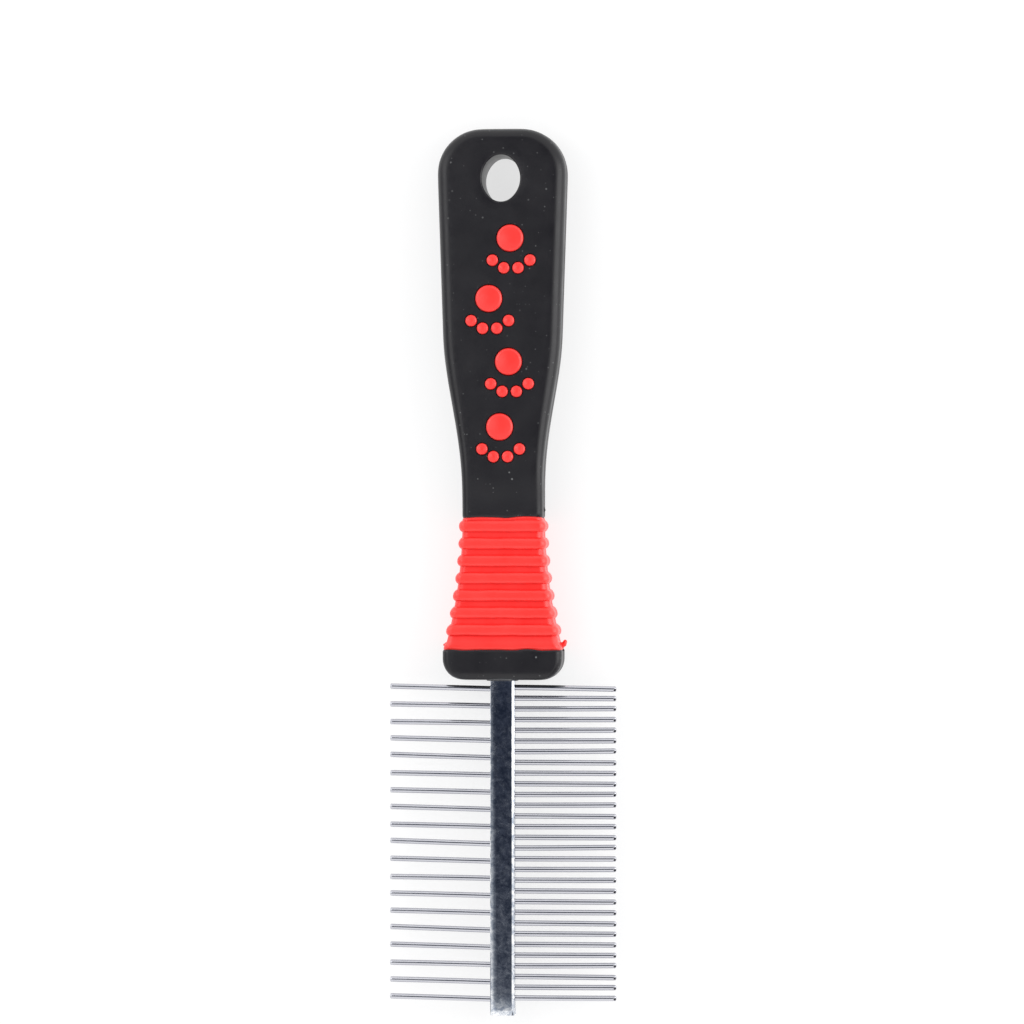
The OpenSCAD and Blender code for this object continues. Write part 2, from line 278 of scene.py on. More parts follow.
def flash(bm, stops, tall):
    """A closed rounded worm of rubber through stops; tall is its height over its width."""
    path = [Vector((x, y, MID_Z + z)) for x, y, z, _ in stops]
    rows = []
    for i, (centre, (_, _, _, r)) in enumerate(zip(path, stops)):
        along = (path[min(i + 1, len(path) - 1)] - path[max(i - 1, 0)]).normalized()
        side = Vector((0, 0, 1)).cross(along).normalized()
        places = [(0, 1.0)]
        if i in (0, len(path) - 1):
            end = -1 if i == 0 else 1
            places = [(end * r * sin(radians(a)), cos(radians(a))) for a in (0, 30, 60, 82)]
            places = places[::-1] if i == 0 else places
        for ahead, size in places:
            middle = centre + along * ahead
            rows.append(add_ring(bm, [
                middle + side * (r * size * cos(a)) + Vector((0, 0, r * size * tall * sin(a)))
                for a in turn(12)]))
    for a, b in zip(rows, rows[1:]):
        bridge(bm, a, b)
    bm.faces.new(rows[0])
    bm.faces.new(rows[-1])


def inside(point, loop):
    """True if a plane point is inside a closed loop of plane points."""
    x, y = point
    found = False
    for i in range(len(loop)):
        (x0, y0), (x1, y1) = loop[i - 1], loop[i]
        if (y0 > y) != (y1 > y) and x < (x1 - x0) * (y - y0) / (y1 - y0) + x0:
            found = not found
    return found


def fill(bm, outer, holes, flat, free, lift):
    """Triangles in a closed loop of vertices, less the holes in it. flat gives a vertex's place in the
    plane, free are further points of the plane, and lift gives such a point's place in space."""
    rows = [outer] + holes
    verts = [v for row in rows for v in row]
    plane = [flat(v.co / MM) for v in verts]
    loops, edges, start = [], [], 0
    for row in rows:
        n = len(row)
        loops.append(plane[start:start + n])
        edges += [(start + i, start + (i + 1) % n) for i in range(n)]
        start += n
    kept = [p for p in free if inside(p, loops[0]) and not any(inside(p, h) for h in loops[1:])]
    points = [Vector(p) for p in plane + kept]
    out, _, faces, origin, _, _ = geometry.delaunay_2d_cdt(points, edges, [], 1, 1e-7)
    made = {}
    for i, sources in enumerate(origin):
        known = [s for s in sources if s < len(verts)]
        made[i] = verts[known[0]] if known else bm.verts.new(Vector(lift(out[i].x, out[i].y)) * MM)
    for face in faces:
        centre = sum((out[i] for i in face), Vector((0, 0))) / len(face)
        if inside(centre, loops[0]) and not any(inside(centre, h) for h in loops[1:]):
            bm.faces.new([made[i] for i in face])


def fill_strip(bm, a, b):
    """Triangles between two rows with different numbers of vertices."""
    i = j = 0
    while i < len(a) - 1 or j < len(b) - 1:
        if j == len(b) - 1 or (i < len(a) - 1 and (i + 1) / (len(a) - 1) <= (j + 1) / (len(b) - 1)):
            bm.faces.new((a[i], a[i + 1], b[j]))
            i += 1
        else:
            bm.faces.new((a[i], b[j + 1], b[j]))
            j += 1


def lathe(bm, x, y, profile, count):
    """A closed solid turned about a vertical axis through x, y. The profile is (radius, height)."""
    rows = [add_ring(bm, [(px, py, z) for px, py in circle(x, y, r, count)]) for r, z in profile]
    for a, b in zip(rows, rows[1:]):
        bridge(bm, a, b)
    for row, z in ((rows[0], profile[0][1]), (rows[-1], profile[-1][1])):
        centre = bm.verts.new(Vector((x, y, z)) * MM)
        for i in range(count):
            bm.faces.new((row[i], row[(i + 1) % count], centre))


def grid(x0, x1, y0, y1, step):
    """Points of a plane in staggered rows."""
    rows = max(2, ceil((y1 - y0) / step))
    columns = max(2, ceil((x1 - x0) / step))
    points = []
    for r in range(rows + 1):
        shift = 0.25 if r % 2 else -0.25
        for c in range(columns + 1):
            points.append((x0 + (c + shift) * (x1 - x0) / columns, y0 + r * (y1 - y0) / rows))
    return points


def away_from(points, circles):
    """Leaves out the points that lie in any of the circles (x, y, r)."""
    return [p for p in points if all(hypot(p[0] - c[0], p[1] - c[1]) > c[2] for c in circles)]


def add_to_scene(name, data):
    obj = bpy.data.objects.new(name, data)
    bpy.context.scene.collection.objects.link(obj)
    return obj


def make_piece(name, bm, material, nodes, sharp=35):
    """Turns a bmesh into a piece that rides on the comb and stands for some CAD nodes. It is shaded
    smooth, but for edges of more than sharp degrees."""
    bmesh.ops.recalc_face_normals(bm, faces=bm.faces)
    for face in bm.faces:
        face.smooth = True
    mesh = bpy.data.meshes.new(name)
    bm.to_mesh(mesh)
    bm.free()
    mesh.set_sharp_from_angle(angle=radians(sharp))
    mesh.materials.append(material)
    obj = add_to_scene(name, mesh)
    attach(obj, "root")
    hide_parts(*nodes)
    return obj


# ---- materials ----


class Nodes:
    """A node tree whose textures lie on one set of coordinates. Each call adds a node and returns the
    socket it gives."""

    def __init__(self, tree, coordinates):
        self.tree = tree
        self.place = self.add("ShaderNodeTexCoord").outputs[coordinates]

    def add(self, kind, **settings):
        node = self.tree.nodes.new(kind)
        for key, value in settings.items():
            setattr(node, key, value)
        return node

    def find(self, kind):
        return next(n for n in self.tree.nodes if n.type == kind)

    def link(self, out, to):
        self.tree.links.new(out, to)

    def put(self, value, socket):
        """Sets a socket to a number or a colour, or links an output to it."""
        if isinstance(value, tuple):
            socket.default_value = (*value, 1.0)
        elif isinstance(value, (int, float)):
            socket.default_value = value
        else:
            self.link(value, socket)

    def noise(self, scale, detail=3.0, roughness=0.55, vector=None, distortion=0.0):
        node = self.add("ShaderNodeTexNoise")
        node.inputs["Scale"].default_value = scale
        node.inputs["Detail"].default_value = detail
        node.inputs["Roughness"].default_value = roughness
        node.inputs["Distortion"].default_value = distortion
        self.link(vector or self.place, node.inputs["Vector"])
        return node.outputs["Fac"]

    def ramp(self, value, stops):
        """stops are (position, brightness or colour)."""
        node = self.add("ShaderNodeValToRGB")
        elements = node.color_ramp.elements
        while len(elements) < len(stops):
            elements.new(0.5)
        for element, (position, colour) in zip(elements, stops):
            element.position = position
            if isinstance(colour, (int, float)):
                colour = (colour, colour, colour)
            element.color = (*colour, 1.0)
        self.link(value, node.inputs["Fac"])
        return node.outputs["Color"]

    def math(self, operation, *values):
        node = self.add("ShaderNodeMath", operation=operation)
        for value, socket in zip(values, node.inputs):
            self.put(value, socket)
        return node.outputs[0]

    def mix(self, factor, a, b, blend_type="MIX"):
        node = self.add("ShaderNodeMix", data_type="RGBA", blend_type=blend_type)
        # of the node's inputs, 0 is the factor, and 6 and 7 are the two colours
        for value, i in ((factor, 0), (a, 6), (b, 7)):
            self.put(value, node.inputs[i])
        return node.outputs[2]


class Graph(Nodes):
    """The nodes of a new material, with its shader's uniform values."""

    def __init__(self, name, **values):
        self.material = bpy.data.materials.new(name)
        self.material.use_nodes = True
        super().__init__(self.material.node_tree, "Object")
        self.shader = self.find("BSDF_PRINCIPLED")
        for socket, value in values.items():
            self.shader.inputs[socket.replace("_", " ")].default_value = value

    def feed(self, out, socket):
        self.link(out, self.shader.inputs[socket])

    def stretch(self, scale):
        """The coordinates, scaled along each axis."""
        node = self.add("ShaderNodeMapping")
        node.inputs["Scale"].default_value = scale
        self.link(self.place, node.inputs["Vector"])
        return node.outputs["Vector"]

    def specks(self, scale, share, size):
        """Round dots in those cells whose random value is over share."""
        cells = self.add("ShaderNodeTexVoronoi")
        cells.inputs["Scale"].default_value = scale
        cells.inputs["Randomness"].default_value = 1.0
        self.link(self.place, cells.inputs["Vector"])
        near = self.ramp(cells.outputs["Distance"], [(size * 0.5, 1.0), (size, 0.0)])
        chosen = self.ramp(cells.outputs["Color"], [(share, 0.0), (share + 0.02, 1.0)])
        return self.math("MULTIPLY", near, chosen)

    def sideways(self):
        """How far the surface faces left or right, 0 to 1."""
        parts = self.add("ShaderNodeSeparateXYZ")
        self.link(self.place.node.outputs["Normal"], parts.inputs[0])
        return self.math("ABSOLUTE", parts.outputs["X"])

    def openness(self, reach):
        """1 on open and raised parts of a piece, less in its grooves."""
        node = self.add("ShaderNodeAmbientOcclusion", samples=6, only_local=True)
        node.inputs["Distance"].default_value = reach * MM
        return node.outputs["AO"]

    def bump(self, height, depth, normal=None):
        node = self.add("ShaderNodeBump")
        node.inputs["Distance"].default_value = depth * MM
        node.inputs["Strength"].default_value = 1.0
        self.link(height, node.inputs["Height"])
        if normal is not None:
            self.link(normal, node.inputs["Normal"])
        return node.outputs["Normal"]


def black_rubber():
    g = Graph("black_rubber", IOR=1.5, Specular_IOR_Level=0.36)
    cloudy = g.noise(90, 4.0, 0.6)
    tone = g.ramp(cloudy, [(0.3, (0.0045, 0.0040, 0.0060)), (0.7, (0.0068, 0.0062, 0.0086))])
    # specks of dust of two sizes, thicker in some places than in others
    dust = g.specks(430, 0.70, 0.13)
    fine_dust = g.specks(900, 0.72, 0.20)
    patchy = g.ramp(g.noise(60, 2.0), [(0.35, 0.15), (0.65, 1.0)])
    dusty = g.math("MULTIPLY", g.math("MAXIMUM", dust, g.math("MULTIPLY", fine_dust, 0.6)), patchy)
    g.feed(g.mix(g.math("MULTIPLY", dusty, 0.45), tone, (0.30, 0.31, 0.31)), "Base Color")
    g.feed(g.ramp(g.noise(160, 3.0), [(0.3, 0.30), (0.7, 0.39)]), "Roughness")
    grain = g.bump(g.noise(5200, 2.0), 0.012)
    g.feed(g.bump(g.noise(330, 2.0), 0.03, normal=grain), "Normal")
    return g.material


def red_rubber():
    g = Graph("red_rubber", IOR=1.5, Specular_IOR_Level=0.4)
    cloudy = g.noise(140, 4.0, 0.6)
    # painted shade: the red is darker in the grooves and hollows, where the ribs shade it, and lighter on
    # the open crests, mixed by ambient occlusion
    deep = g.ramp(cloudy, [(0.3, (0.77, 0.008, 0.007)), (0.7, (0.82, 0.013, 0.011))])
    unshaded_red = g.ramp(cloudy, [(0.3, (0.84, 0.028, 0.023)), (0.7, (0.89, 0.038, 0.032))])
    unshaded_share = g.ramp(g.openness(1.6), [(0.78, 0.0), (0.995, 1.0)])
    # painted highlight: the sides facing left and right are painted paler pink than the front and the
    # back, as the side lights would light them
    side = g.ramp(g.sideways(), [(0.15, 0.0), (0.65, 0.24)])
    g.feed(g.mix(side, g.mix(unshaded_share, deep, unshaded_red), (0.92, 0.16, 0.15)), "Base Color")
    g.feed(g.ramp(g.noise(220, 3.0), [(0.3, 0.28), (0.7, 0.37)]), "Roughness")
    grain = g.bump(g.noise(4200, 2.0), 0.010)
    g.feed(g.bump(g.noise(420, 2.0), 0.03, normal=grain), "Normal")
    return g.material


def spine_chrome():
    g = Graph("spine_chrome", Metallic=1.0)
    patches = g.noise(430, 6.0, 0.75, distortion=0.5)
    g.feed(g.ramp(patches, [(0.40, (0.33, 0.37, 0.44)), (0.62, (0.96, 0.96, 0.96))]), "Base Color")
    g.feed(g.ramp(g.noise(600, 5.0, 0.75), [(0.40, 0.05), (0.66, 0.14)]), "Roughness")
    waves = g.bump(g.noise(130, 2.0), 0.022)
    g.feed(g.bump(g.noise(900, 4.0, 0.65), 0.005, normal=waves), "Normal")
    return g.material


def wire_chrome():
    g = Graph("wire_chrome", Metallic=1.0)
    drawn = g.noise(60, 4.0, 0.6, vector=g.stretch((1.0, 18.0, 18.0)))
    tone = g.ramp(drawn, [(0.3, (0.470, 0.474, 0.515)), (0.7, (0.555, 0.556, 0.595))])
    g.feed(tone, "Base Color")
    g.feed(g.ramp(drawn, [(0.3, 0.11), (0.7, 0.17)]), "Roughness")
    g.feed(g.bump(drawn, 0.004), "Normal")
    return g.material


def core_plastic():
    g = Graph("core_plastic", IOR=1.46)
    g.feed(g.ramp(g.noise(120, 3.0), [(0.3, 0.045), (0.7, 0.065)]), "Base Color")
    g.feed(g.ramp(g.noise(300, 3.0), [(0.3, 0.5), (0.7, 0.65)]), "Roughness")
    g.feed(g.bump(g.noise(2600, 2.0), 0.01), "Normal")
    return g.material


# ---- sections of the handle ----


def side_profile(h, e, steps=EDGE_STEPS, seam=True):
    """One side of a section from the front face to the back, as (inset, height above the middle), with the
    parting line on it if seam is true."""
    front = []
    for i in range(steps + 1):
        a = pi / 2 * i / steps
        front.append((e * (1 - sin(a)) + DRAFT * i / steps, h - e * EDGE_DEPTH * (1 - cos(a))))
    if seam:
        front.append((PARTING_H + 0.02, PARTING_W))
        front.append((PARTING_H, PARTING_W * 0.6))
    return front + [(0.0, 0.0)] + [(inset, -z) for inset, z in reversed(front)]


def ring_at(y, w, h, e, across=24, outer=True, shift=None):
    """A closed ring round the handle at y. shift(x, z) moves its points along the handle. An outer ring
    follows the neck's sideways shift, and an inner one stays on the core."""
    right = [(w - inset, MID_Z + z) for inset, z in side_profile(h, e)]
    left = [(-x, z) for x, z in reversed(right)]
    points = list(right)
    for a, b, side in ((right[-1], left[0], left), (left[-1], right[0], [])):
        points += [(a[0] + (b[0] - a[0]) * i / across, a[1]) for i in range(1, across)] + side
    return [(x + (neck_shift(x, y) if outer else 0.0), y + (shift(x, z) if shift else 0.0), z)
            for x, z in points]


# ---- pieces ----


def collar_ring(y):
    """The collar's outer side at y."""
    dip = seam_dip(y - COLLAR_Y) + seam_dip(GRIP_Y - y)
    w, h = body_w(y) + rib_at(y) - dip, body_h(y) + face_rib_at(y) - dip
    low, high = ease(1 - (y - COLLAR_Y) / FADE_CAP), ease(1 - (GRIP_Y - y) / FADE_GRIP)

    def shift(x, z):
        at_ends = low * wander(x, z, CAP_SEED) + high * wander(x, z, GRIP_SEED)
        return at_ends + wander(x, z, y, RIB_WAVE)
    return ring_at(y, w, h, EDGE_NECK, shift=shift)


def collar_stations():
    """Places of the collar's rings: dense on the ribs, one in each groove."""
    rib_steps = 14
    stations = [COLLAR_Y + d for d in (0, 0.1, 0.2, 0.4, FLANGE_LEN - FLANGE_SLOPE, FLANGE_LEN)]
    for n in range(RIB_COUNT - 1, -1, -1):
        centre = RIB_TOP_Y - n * RIB_PITCH
        stations += [centre - RIB_W / 2 * cos(pi * i / rib_steps) for i in range(rib_steps + 1)]
        stations.append(centre + RIB_PITCH / 2)
    return stations[:-1] + [GRIP_Y - d for d in (0.4, 0.3, 0.2, 0.1, 0)]


def build_collar(material):
    bm = bmesh.new()
    rows = [add_ring(bm, collar_ring(y)) for y in collar_stations()]
    # the inner side, from the grip back to the cap: its two ends follow the joints
    inner_steps = 8
    for i in range(inner_steps + 1):
        y = GRIP_Y + (COLLAR_Y - GRIP_Y) * i / inner_steps
        seed = GRIP_SEED if i == 0 else CAP_SEED
        reach = 1.0 if i in (0, inner_steps) else 0.0
        rows.append(add_ring(bm, ring_at(
            y, body_w(y) - SKIN, body_h(y) - SKIN, inner_edge(EDGE_NECK, SKIN), outer=False,
            shift=lambda x, z, reach=reach, seed=seed: reach * wander(x, z, seed))))
    for a, b in zip(rows, rows[1:] + rows[:1]):
        bridge(bm, a, b)
    # moulding flash: a curled tab at the right end of the flange, and a lug at its left end
    flash(bm, COLLAR_TAB, 1.2)
    flash(bm, COLLAR_LUG, 1.3)
    return make_piece("collar_red", bm, material, ["ribbed_collar"], sharp=50)


def cap_section(y, s):
    """Half width, half thickness and edge of the cap at y, shrunk by s."""
    r = CAP_R - s
    low = CAP_Y + s
    d = max(0.0, low + r - y)
    w = CAP_W - s - r + sqrt(max(0.0, r * r - d * d))
    e = inner_edge(EDGE_NECK, s)
    k = max(0.0, 1 - (y - low) / e)
    h = GRIP_T / 2 - s - e * (1 - sqrt(max(0.0, 1 - k * k)))
    return w, h, e


def lip_ring(y, margin):
    """A ring of the cap's lip: the spine's plain outline, grown by margin."""
    half_w = SPINE_HIGH.x + margin
    half_t = SPINE_HALF_T + margin
    r = SPINE_EDGE + margin
    points = []
    for sx, sz, start in ((1, 1, 0), (-1, 1, 90), (-1, -1, 180), (1, -1, 270)):
        for turned in range(0, 91, 15):
            a = radians(start + turned)
            points.append((sx * (half_w - r) + r * cos(a), y, MID_Z + sz * (half_t - r) + r * sin(a)))
    return points


def spine_ring(y, shrink):
    """The bare spine's section: bevelled edges towards the fine teeth, and on the other side a face that
    falls off gently before its edge."""
    half_w = SPINE_HIGH.x - shrink
    half_t = SPINE_HALF_T - shrink
    corners = [(half_w - x, half_t - z) for x, z in BEVEL]
    deep = FALL_AT_CAP + (FALL_AT_END - FALL_AT_CAP) * min(1.0, max(0.0, (CAP_Y - y) / (CAP_Y - TIP_Y)))
    corners += [(x - half_w, half_t - z * deep) for x, z in FALL_OFF]
    corners += [(x - half_w, half_t - z) for x, z in FALL_EDGE]
    corners += [(x, -z) for x, z in reversed(corners)]
    return [(x, y, MID_Z + z) for x, z in corners]


def cap_ring(bm, y, s, drift=0.0):
    """A ring of the cap at y and depth s. drift is how much of the joint's wander it follows."""
    w, h, e = cap_section(y, s)
    dip = seam_dip(COLLAR_Y - y) if s == 0 else 0.0

    def shift(x, z):
        return drift * wander(x, z, CAP_SEED)
    return add_ring(bm, ring_at(y, w - dip, h - dip, e, across=16, outer=s == 0, shift=shift))


def build_cap(material):
    bm = bmesh.new()
    # outside round the corners and along to the collar, where the rings follow the joint more and more
    reach = [CAP_R * (1 - cos(radians(a))) for a in (4, 10, 16, 22, 28, 34, 40, 48, 56, 64, 72, 82, 90)]
    rows = [cap_ring(bm, CAP_Y + d, 0.0) for d in reach]
    rows += [cap_ring(bm, COLLAR_Y - d, 0.0, 1 - d / 2) for d in (1.0, *reversed(NEAR_JOINT), 0.0)]
    # and back inside
    inner_r = CAP_R - SKIN
    depths = [inner_r * (1 - cos(radians(a))) for a in (90, 70, 50, 30, 12)]
    rows += [cap_ring(bm, COLLAR_Y, SKIN, 1.0)] + [cap_ring(bm, CAP_Y + SKIN + d, SKIN) for d in depths]
    lip = [add_ring(bm, lip_ring(CAP_Y + d, margin)) for d, margin in LIP]
    for rings in (rows, lip):
        for a, b in zip(rings, rings[1:]):
            bridge(bm, a, b)

    def flat(co):
        return co.x, co.z

    fill(bm, rows[0], [lip[0]], flat, [], None)
    fill(bm, rows[-1], [lip[-1]], flat, [], None)
    flash(bm, CAP_NUB, 1.0)
    return make_piece("cap_black", bm, material, ["nose_cap"])


def grip_outline():
    """Stations along the grip's plan outline: right side up, round the hanging end, left side down."""
    count, corner_count = round((CORNER_Y - GRIP_Y) / SIDE_STEP), 24
    heights = [GRIP_Y + d for d in (0, *NEAR_JOINT)]
    heights += [GRIP_Y + (CORNER_Y - GRIP_Y) * i / count for i in range(1, count + 1)]
    right = [(body_w(y), y) for y in heights]
    flat = SHOULDER_W - END_R
    for i in range(1, corner_count + 1):
        a = radians(90 * i / corner_count)
        right.append((flat + END_R * cos(a), CORNER_Y + END_R * sin(a)))
    right += [(flat * (1 - i / 4), FAR_Y) for i in range(1, 4)]
    points = right + [(0.0, FAR_Y)] + [(-x, y) for x, y in reversed(right)]
    # smoothed, but for the stations beside the joint
    kept = len(NEAR_JOINT) + 1
    for _ in range(4):
        points = points[:kept] + [
            tuple((points[i - 1][k] + 2 * points[i][k] + points[i + 1][k]) / 4 for k in (0, 1))
            for i in range(kept, len(points) - kept)] + points[-kept:]
    return points


def outline_normals(points):
    """Directions outwards in plan at the stations."""
    normals = []
    for i in range(len(points)):
        a, b = points[max(i - 1, 0)], points[min(i + 1, len(points) - 1)]
        d = hypot(b[0] - a[0], b[1] - a[1])
        normals.append(((b[1] - a[1]) / d, -(b[0] - a[0]) / d))
    normals[0], normals[-1] = (1.0, 0.0), (-1.0, 0.0)
    return normals


def oval(margin, count=72):
    """The hanging hole's outline with a margin: two small arcs and two large ones."""
    small_r = HOLE_ARC * HOLE_W
    small_y = HOLE_L / 2 - small_r
    large_x = (small_y ** 2 - (HOLE_W / 2 - small_r) ** 2) / (HOLE_W - 2 * small_r)
    large_r = large_x + HOLE_W / 2 + margin
    points = []
    for a in turn(count):
        c, s = abs(cos(a)), abs(sin(a))
        # distance from the centre to a large arc, or to a small one if that is what the ray meets
        t = -large_x * c + sqrt((large_x * c) ** 2 + large_r ** 2 - large_x ** 2)
        join = large_r * small_y / (large_r - small_r - margin)
        if t * s > join:
            r = small_r + margin
            t = small_y * s + sqrt(r * r - (small_y * c) ** 2)
        points.append((t * cos(a), HOLE_Y + t * sin(a)))
    return points


def studs_of(node):
    """A print's studs, as (x, y, radius), from its CAD node."""
    low, high = box_mm(node)
    x = low.x - (TOES[0][0] - TOE_R - WEB_MARGIN)
    y = high.y - PAD_R - WEB_MARGIN
    return [(x, y, PAD_R)] + [(x + dx, y + dy, TOE_R) for dx, dy in TOES]


def all_studs():
    return [stud for node in PRINTS for stud in studs_of(node)]


def joint_drift(x, y, z=GRIP_T):
    """How far a point of the grip strays along the handle: it follows the joint with the collar."""
    return ease(1 - (y - GRIP_Y) / FADE_SLEEVE) * wander(x, z, GRIP_SEED)


def skin_sheet(bm, outline, s, steps, seam):
    """The skin's outer side, or its inner one at depth s: one column of points a station."""
    columns = []
    for (x, y), (nx, ny) in zip(outline, outline_normals(outline)):
        dip = seam_dip(y - GRIP_Y) if s == 0 else 0.0
        h = body_h(y) - s - dip
        e = inner_edge(edge_at(y), s)
        column = []
        for inset, z in side_profile(h, e, steps, seam):
            inset += dip
            px, py = x - (inset + s) * nx, y - (inset + s) * ny
            py += joint_drift(px, y, MID_Z + z)
            px += neck_shift(px, y) if s == 0 else 0.0
            column.append((px, py, MID_Z + z))
        columns.append(add_ring(bm, column))
    for a, b in zip(columns, columns[1:]):
        bridge(bm, a, b, closed=False)
    return columns


def closing_row(bm, a, b):
    """Vertices from a to b, two corners of the section at the collar."""
    across = 24
    start, end = a.co / MM, b.co / MM
    row = []
    for i in range(1, across):
        p = start.lerp(end, i / across)
        p.y = GRIP_Y + wander(p.x, p.z, GRIP_SEED)
        row.append(bm.verts.new(p * MM))
    return [a] + row + [b]


def face_loops(bm, columns):
    """The loops that bound the front and the back face, and the rows that close them at the collar."""
    front = closing_row(bm, columns[-1][0], columns[0][0])
    back = closing_row(bm, columns[-1][-1], columns[0][-1])
    return ([c[0] for c in columns] + front[1:-1], [c[-1] for c in columns] + back[1:-1], front, back)


def hole_walls(bm):
    """The hanging hole's wall, from the front face over its rounded rims to the back face, and the wall
    inside the skin."""
    rim = [(HOLE_ROUND * (1 - sin(radians(a))), HOLE_ROUND * (1 - cos(radians(a))))
           for a in (0, 18, 36, 54, 72, 90)]
    half = GRIP_T / 2
    levels = [(m, half - d) for m, d in rim] + [(0.0, 0.0)] + [(m, d - half) for m, d in reversed(rim)]
    hole = [add_ring(bm, [(x, y, MID_Z + z) for x, y in oval(m)]) for m, z in levels]
    liner = [add_ring(bm, [(x, y, MID_Z + z) for x, y in oval(LINER)]) for z in (half - SKIN, SKIN - half)]
    for rows in (hole, liner):
        for a, b in zip(rows, rows[1:]):
            bridge(bm, a, b)
    return hole, liner


def stud_wells(bm):
    """The wells that the studs come up through: their outer and their inner rims."""
    outer_rims, inner_rims = [], []
    steps = [(WELL_CHAMFER, 0.0), (0.0, WELL_CHAMFER), (0.0, SKIN)]
    for x, y, r in all_studs():
        _, _, sides = STUD_SHAPES[r]
        rows = []
        for margin, depth in steps:
            rim = circle(x, y, r + WELL_GAP + margin, sides)
            rows.append(add_ring(bm, [(px, py, SLEEVE_HIGH.z - depth) for px, py in rim]))
        for a, b in zip(rows, rows[1:]):
            bridge(bm, a, b)
        outer_rims.append(rows[0])
        inner_rims.append(rows[-1])
    return outer_rims, inner_rims


def face_points():
    """Points for the front face, clear of the hanging hole and the studs, and for the back, clear of the
    hole."""
    free = grid(-SHOULDER_W, SHOULDER_W, GRIP_Y + FACE_STEP, FAR_Y - 1, FACE_STEP)
    for d in (*NEAR_JOINT, 0.8):
        across = [0.8 * i for i in range(-14, 15)]
        free += [(x, GRIP_Y + d + joint_drift(x, GRIP_Y + d)) for x in across]
    hole = (0.0, HOLE_Y, HOLE_L / 2 + HOLE_CLEAR)
    studs = [(x, y, r + STUD_CLEAR) for x, y, r in all_studs()]
    return away_from(free, [hole] + studs), away_from(free, [hole])


def skin_h(x, y):
    """Height of the grip's faces above the middle."""
    return body_h(y) - seam_dip(max(0.0, y - joint_drift(x, y) - GRIP_Y))


def build_grip(material):
    bm = bmesh.new()
    outline = grip_outline()
    outer = skin_sheet(bm, outline, 0.0, EDGE_STEPS, True)
    inner = skin_sheet(bm, outline, SKIN, INNER_EDGE_STEPS, False)
    out_front, out_back, out_row_f, out_row_b = face_loops(bm, outer)
    in_front, in_back, in_row_f, in_row_b = face_loops(bm, inner)
    hole, liner = hole_walls(bm)
    out_wells, in_wells = stud_wells(bm)
    front_free, back_free = face_points()

    def flat(co):
        return co.x, co.y

    fill(bm, out_front, [hole[0]] + out_wells, flat, front_free, lambda x, y: (x, y, MID_Z + skin_h(x, y)))
    fill(bm, out_back, [hole[-1]], flat, back_free, lambda x, y: (x, y, MID_Z - skin_h(x, y)))
    fill(bm, in_front, [liner[0]] + in_wells, flat, front_free,
         lambda x, y: (x, y, MID_Z + body_h(y) - SKIN))
    fill(bm, in_back, [liner[1]], flat, back_free, lambda x, y: (x, y, MID_Z - body_h(y) + SKIN))

    # the end that meets the collar, closed between the outer and the inner side
    bridge(bm, out_row_f, in_row_f, closed=False)
    bridge(bm, out_row_b, in_row_b, closed=False)
    for side in (0, -1):
        fill_strip(bm, outer[side], inner[side])
    flash(bm, GRIP_NUB, 1.0)
    return make_piece("grip_black", bm, material, ["grip_sleeve"])


def add_lower_part(bm, node, top_z):
    """Adds what a CAD node has below top_z, closed there."""
    part = bmesh.new()
    part.from_mesh(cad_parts[node].data)
    bmesh.ops.remove_doubles(part, verts=part.verts, dist=1e-7)
    bmesh.ops.bisect_plane(part, geom=part.verts[:] + part.edges[:] + part.faces[:], dist=1e-8,
                           plane_co=(0, 0, top_z * MM), plane_no=(0, 0, 1), clear_outer=True)
    bmesh.ops.holes_fill(part, edges=[e for e in part.edges if e.is_boundary])
    copy = bpy.data.meshes.new("lower_part")
    part.to_mesh(copy)
    part.free()
    bm.from_mesh(copy)
    bpy.data.meshes.remove(copy)


def build_print(node, material):
    """A print: its plate from the CAD, and its studs with rounded rims and slightly domed tops."""
    bm = bmesh.new()
    low_z = GRIP_T - SKIN
    top = GRIP_T + STUD_TOP
    add_lower_part(bm, node, low_z)
    for x, y, r in studs_of(node):
        rim, dome, sides = STUD_SHAPES[r]
        profile = [(r, low_z), (r, top - dome - rim)]
        for a in (15, 30, 45, 60, 75, 90):
            t = radians(a)
            profile.append((r - rim * (1 - cos(t)), top - dome - rim * (1 - sin(t))))
        inner = r - rim
        for k in (0.85, 0.65, 0.45, 0.25, 0.1):
            profile.append((inner * k, top - dome * k * k))
        lathe(bm, x, y, profile, sides)
    return make_piece("studs_" + node[-1], bm, material, [node])


def spine_half_width(y):
    """Half width of the spine at y, less in the tang's notches."""
    w = SPINE_HIGH.x
    tang = TANG_Y - CAP_Y
    for place in NOTCH_PLACES:
        d = abs(y - (CAP_Y + place * tang))
        if d < NOTCH_R:
            w = min(w, SPINE_HIGH.x + NOTCH_R / 3 - sqrt(NOTCH_R ** 2 - d * d))
    return w


def tooth_line(node):
    """Where a tooth's axis starts in the spine, and the centre of its round tip."""
    low, high = box_mm(node)
    side = 1 if node in FINE else -1
    seat_x = low.x if side > 0 else high.x
    tip_x = (high.x if side > 0 else low.x) - side * TOOTH_R
    return Vector((seat_x, low.y + TOOTH_R, MID_Z)), Vector((tip_x, high.y - TOOTH_R, MID_Z))


def spine_stations():
    """Places of the spine's rings: dense on its rounded free end and at the tang's notches."""
    stations = [TIP_Y + d for d in (0.0, 0.03, 0.09, 0.16, END_ROUND)]
    count = 110
    stations += [TIP_Y + END_ROUND + (TANG_Y - TIP_Y - END_ROUND) * i / count for i in range(1, count + 1)]
    for place in NOTCH_PLACES:
        stations += [CAP_Y + place * (TANG_Y - CAP_Y) + NOTCH_R * k / 4 for k in range(-4, 5)]
    return sorted(set(round(y, 4) for y in stations))


